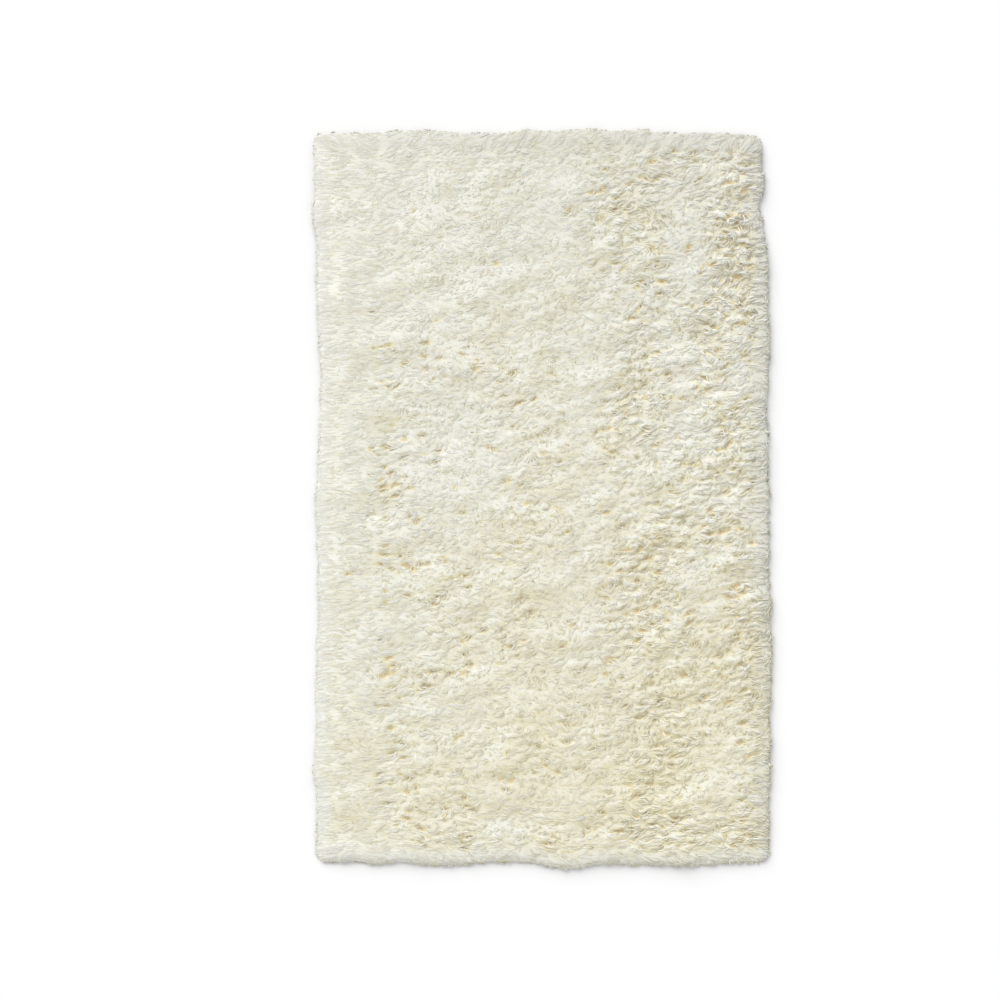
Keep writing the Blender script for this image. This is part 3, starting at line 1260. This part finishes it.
# %% The pale crown, the shade and the tan root
UPPER_SIDE = 0.576  # how far across the strip a yarn's upper side is
CROWN_GREYS = ((0.10, 0.0), (0.32, 0.8), (0.66, 1.0), (0.98, 0.25))  # how pale, from root to tip

ridge = mapped(reckon("ABSOLUTE", reckon("SUBTRACT", across_yarn, UPPER_SIDE)), 0.16, 0.42)
crown = colour_ramp(along_yarn, [(place, (grey, grey, grey, 1)) for place, grey in CROWN_GREYS])
wool = mixed(times(crown, plus(times(ridge, 0.5), 0.25)), wool, PALEST_IVORY)
wool = dimmed(wool, reckon("DIVIDE", light_row, LIGHT_STEPS - 1), 0.24, 0.77)
wool = mixed(mapped(along_yarn, 0.02, 0.42, 1.0, 0.0, smooth=True), wool, ROOT_TAN)

# %% The yarn's own strands
STRANDS = (7.0, 2.5, 3.7)  # across the yarn, along it, and from one shade to the next

strand_axes = enumerate(zip((across_yarn, along_yarn, tone), STRANDS))
strand_place = add_node("CombineXYZ", {k: times(source, count) for k, (source, count) in strand_axes})
strand_mask = add_streaks(strand_place.outputs[0], 0.50, 0.70)
wool = mixed(times(strand_mask, 0.22), wool, STREAK_OLIVE)
put_on(pile_pieces, yarn_wool, yarn_shader, wool, strand_mask, 0.0002)
print("the yarns' wool has", len(yarn_wool.node_tree.nodes), "nodes")

# %% [markdown]
# ### The bed's wool
#
# The bed has the same ivory and cream. Where it lies deep it goes through tan to brown. Its streaks run along the
# comb: nearly straight across where the pile is combed flat, and up to the right elsewhere.

# %% The bed's wool
DEEP_STOPS = (
    (0.3, (0.765, 0.705, 0.490, 1)),
    (0.6, (0.700, 0.595, 0.375, 1)),
    (1.0, (0.620, 0.480, 0.300, 1)),
)
COMBED_STREAKS = (-2, (40, 230, 60), 0.46, 0.72)  # degrees, streaks a metre, and the noise they start and end at
LOOSE_STREAKS = (-20, (75, 180, 60), 0.54, 0.70)

bed_wool, bed_shader = new_finish("bed_wool", 0.95, 0.1)


def read_mark(name):
    """Reads one of the numbers that the bed's points carry."""
    node = bed_wool.node_tree.nodes.new("ShaderNodeAttribute")
    node.attribute_name = name
    return node.outputs["Fac"]


def turned_streaks(finish, degrees, counts, start, end):
    """Fibre streaks in the object's own place, turned by some degrees."""
    place = finish.node_tree.nodes.new("ShaderNodeTexCoord").outputs["Object"]
    turn, scale = (0, 0, math.radians(-degrees)), [1 / count for count in counts]
    turned = add_node("Mapping", {"Vector": place, "Rotation": turn, "Scale": scale}, vector_type="TEXTURE")
    return add_streaks(turned.outputs[0], start, end)


felt = mixed(read_mark("warmth"), COOL_IVORY, WARM_CREAM)
felt = dimmed(felt, read_mark("light"), 0.12, 0.915)
bed_depth = read_mark("depth")
felt = mixed(mapped(bed_depth, 0.0, 0.3), felt, colour_ramp(bed_depth, DEEP_STOPS))
combed_mask, loose_mask = [turned_streaks(bed_wool, *streaks) for streaks in (COMBED_STREAKS, LOOSE_STREAKS)]
felt_mask = plus(loose_mask, times(read_mark("combed"), reckon("SUBTRACT", combed_mask, loose_mask)))
felt = mixed(times(felt_mask, 0.40), felt, STREAK_OLIVE)
put_on([bed], bed_wool, bed_shader, felt, felt_mask, 0.0007)
print("the bed's wool has", len(bed_wool.node_tree.nodes), "nodes")

# %% [markdown]
# ### The backing's weave
#
# A plain weave is a chessboard: on one field the thread along the rug is on top, on the next the thread across it.
# Two sine waves make it. Where their product is above nought the first thread is on top. Each thread is round
# across, and sinks at both ends of its field, where it goes under the next thread.

# %% The backing's weave
THREAD_PITCH = 0.006
THREAD_DEPTH = 0.0006
GAP_TAN = (0.420, 0.360, 0.235, 1)
THREAD_CREAM = (0.700, 0.650, 0.500, 1)

backing_weave, backing_shader = new_finish("backing_weave", 0.9, 0.2)
cloth_place = backing_weave.node_tree.nodes.new("ShaderNodeTexCoord").outputs["Object"]
cloth_axes = add_node("SeparateXYZ", {0: cloth_place}).outputs[:2]
waves = [reckon("SINE", times(axis, math.pi / THREAD_PITCH)) for axis in cloth_axes]
round_x, round_y = [reckon("ABSOLUTE", wave) for wave in waves]
lengthways_on_top = reckon("GREATER_THAN", times(*waves), 0.0)


def thread(across, along):
    """The height of a thread: round across, and sinking at its ends."""
    return times(across, plus(times(along, 0.5), 0.5))


lengthways, crossways = thread(round_x, round_y), thread(round_y, round_x)
weave = plus(crossways, times(lengthways_on_top, reckon("SUBTRACT", lengthways, crossways)))
cloth = mixed(mapped(weave, 0.15, 0.65, smooth=True), GAP_TAN, THREAD_CREAM)
cloth_mask = turned_streaks(backing_weave, 0, (160, 160, 60), 0.45, 0.75)
cloth = mixed(times(cloth_mask, 0.35), cloth, ROOT_TAN)
put_on([backing], backing_weave, backing_shader, cloth, weave, THREAD_DEPTH, inwards=False)
print("the backing has", round(backing_size[0] / THREAD_PITCH), "threads across")

# %% [markdown]
# ## Joining the frame
#
# Every piece rides on the rug's one body. The bed stands for the solid. The backing is declared as the cloth that
# the rest is knotted into: one flat sheet that lies on the floor.

# %% Ride, replace, declare
for piece in (bed, backing, *pile_pieces):
    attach(piece, "root")
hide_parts("shag_rug")
print("all pieces have", sum(triangles(piece) for piece in (bed, backing, *pile_pieces)), "triangles together")
